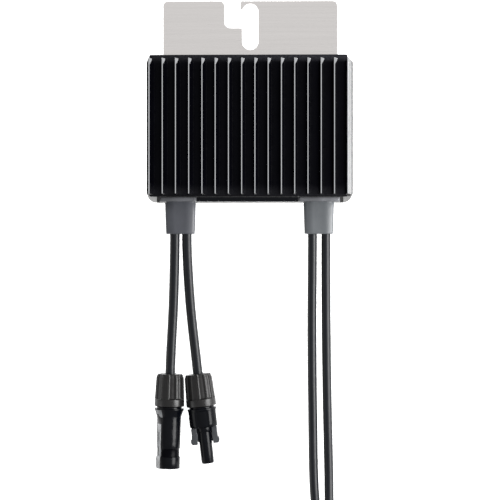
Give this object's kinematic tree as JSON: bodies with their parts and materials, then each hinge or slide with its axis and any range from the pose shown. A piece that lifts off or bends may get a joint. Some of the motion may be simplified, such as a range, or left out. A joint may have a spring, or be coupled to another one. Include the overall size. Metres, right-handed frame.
{
  "type": "photovoltaic power optimizer",
  "caption": "Finned black housing for converting the power of a solar panel, with a slotted hanging bracket, short input leads and long output leads ending in locking connectors.",
  "frame": {"origin": "bottom centre of the bounding box of housing, boots and bracket, without the leads; the back of the hanging bracket is at z 0", "axes": "+X to the right seen from the fins, +Y towards the hanging bracket, +Z out of the fins"},
  "size_m": [0.1886, 0.44, 0.0425],
  "materials": {
    "black_coat": "satin black coat on die-cast aluminium",
    "sheet": "pale brushed sheet metal",
    "steel": "zinc-plated fastener",
    "grey_rubber": "mid-grey moulded rubber",
    "black_rubber": "black sealing rubber",
    "black_plastic": "glossy black moulded plastic",
    "nut_plastic": "satin brownish black moulded plastic",
    "jacket": "satin black cable jacket",
    "tin": "tinned copper",
    "copper": "enamelled copper strip",
    "ferrite": "dark ferrite",
    "board": "green solder mask",
    "epoxy": "black moulding compound",
    "can": "sleeved aluminium can",
    "silicone": "soft grey-blue gap filler",
    "film": "pale insulating film"
  },
  "bodies": {
    "optimizer": {"heat_sink": "black_coat", "rear_tray": "sheet", "mounting_bracket": "sheet", "housing_gasket": "black_rubber", "input_boot": "grey_rubber", "output_boot": "grey_rubber", "end_closing_bar": "black_plastic", "insulation_sheet": "film", "circuit_board": "board", "power_transistor_1": "epoxy", "power_transistor_2": "epoxy", "thermal_pad": "silicone", "inductor_core": "ferrite", "inductor_winding": "copper", "bulk_capacitor": "can", "controller_chip": "epoxy", "signal_transformer": "ferrite", "bypass_diode": "epoxy", "input_lead_plus": "jacket", "input_lead_minus": "jacket", "output_lead_plus": "jacket", "output_lead_minus": "jacket", "output_coil_plus": "jacket", "output_coil_minus": "jacket", "output_tail_plus": "jacket", "output_tail_minus": "jacket", "coil_strap_1": "black_plastic", "coil_strap_2": "black_plastic", "bracket_rivet_1": "steel", "cover_screw_1": "steel", "bracket_rivet_2": "steel", "cover_screw_2": "steel", "bracket_rivet_3": "steel", "cover_screw_3": "steel", "bracket_rivet_4": "steel", "cover_screw_4": "steel", "input_terminal_plus": "tin", "input_terminal_minus": "tin", "output_terminal_plus": "tin", "output_terminal_minus": "tin", "input_socket_body": "black_plastic", "input_socket_contact": "tin", "output_socket_body": "black_plastic", "output_socket_contact": "tin", "input_nose_body": "black_plastic", "input_nose_contact": "tin", "output_nose_body": "black_plastic", "output_nose_contact": "tin"},
    "input_socket_clamp": {"input_socket_clamp_ring": "grey_rubber"},
    "input_socket_gland": {"input_socket_nut": "nut_plastic"},
    "output_socket_clamp": {"output_socket_clamp_ring": "grey_rubber"},
    "output_socket_gland": {"output_socket_nut": "nut_plastic"},
    "input_nose_clamp": {"input_nose_clamp_ring": "grey_rubber"},
    "input_nose_gland": {"input_nose_nut": "nut_plastic"},
    "output_nose_clamp": {"output_nose_clamp_ring": "grey_rubber"},
    "output_nose_gland": {"output_nose_nut": "nut_plastic"},
    "input_nose_arm_1": {"input_nose_latch_1": "black_plastic"},
    "input_nose_arm_2": {"input_nose_latch_2": "black_plastic"},
    "output_nose_arm_1": {"output_nose_latch_1": "black_plastic"},
    "output_nose_arm_2": {"output_nose_latch_2": "black_plastic"}
  },
  "joints": [
    {"name": "input_socket_nut_travel", "type": "slide", "parent": "optimizer", "child": "input_socket_clamp", "axis": [0.027, 0.9996, 0], "range_m": [0, 0.0045]},
    {"name": "input_socket_nut_turn", "type": "hinge", "parent": "input_socket_clamp", "child": "input_socket_gland", "pos_m": [-0.05067, -0.1725, 0.0096], "axis": [0.027, 0.9996, 0], "range_deg": [0, 1080]},
    {"name": "output_socket_nut_travel", "type": "slide", "parent": "optimizer", "child": "output_socket_clamp", "axis": [1, 0, 0], "range_m": [0, 0.0045]},
    {"name": "output_socket_nut_turn", "type": "hinge", "parent": "output_socket_clamp", "child": "output_socket_gland", "pos_m": [-0.074, -0.3565, 0.0096], "axis": [1, 0, 0], "range_deg": [0, 1080]},
    {"name": "input_nose_nut_travel", "type": "slide", "parent": "optimizer", "child": "input_nose_clamp", "axis": [-0.1128, 0.9936, 0], "range_m": [0, 0.0045]},
    {"name": "input_nose_nut_turn", "type": "hinge", "parent": "input_nose_clamp", "child": "input_nose_gland", "pos_m": [-0.03177, -0.17244, 0.0096], "axis": [-0.1128, 0.9936, 0], "range_deg": [0, 1080]},
    {"name": "output_nose_nut_travel", "type": "slide", "parent": "optimizer", "child": "output_nose_clamp", "axis": [1, 0, 0], "range_m": [0, 0.0045]},
    {"name": "output_nose_nut_turn", "type": "hinge", "parent": "output_nose_clamp", "child": "output_nose_gland", "pos_m": [-0.074, -0.336, 0.0096], "axis": [1, 0, 0], "range_deg": [0, 1080]},
    {"name": "input_nose_latch_1_flex", "type": "hinge", "parent": "optimizer", "child": "input_nose_arm_1", "pos_m": [-0.02267, -0.19586, 0.0096], "axis": [0, 0, -1], "range_deg": [0, 5], "stiffness_Nm_per_rad": 0.4},
    {"name": "input_nose_latch_2_flex", "type": "hinge", "parent": "optimizer", "child": "input_nose_arm_2", "pos_m": [-0.03539, -0.1973, 0.0096], "axis": [0, 0, 1], "range_deg": [0, 5], "stiffness_Nm_per_rad": 0.4},
    {"name": "output_nose_latch_1_flex", "type": "hinge", "parent": "optimizer", "child": "output_nose_arm_1", "pos_m": [-0.0983, -0.3424, 0.0096], "axis": [0, 0, -1], "range_deg": [0, 5], "stiffness_Nm_per_rad": 0.4},
    {"name": "output_nose_latch_2_flex", "type": "hinge", "parent": "optimizer", "child": "output_nose_arm_2", "pos_m": [-0.0983, -0.3296, 0.0096], "axis": [0, 0, 1], "range_deg": [0, 5], "stiffness_Nm_per_rad": 0.4}
  ],
  "couplings": [
    {"joint": "input_socket_nut_travel", "follows": "input_socket_nut_turn", "m_per_rad": 0.00023873},
    {"joint": "output_socket_nut_travel", "follows": "output_socket_nut_turn", "m_per_rad": 0.00023873},
    {"joint": "input_nose_nut_travel", "follows": "input_nose_nut_turn", "m_per_rad": 0.00023873},
    {"joint": "output_nose_nut_travel", "follows": "output_nose_nut_turn", "m_per_rad": 0.00023873}
  ]
}
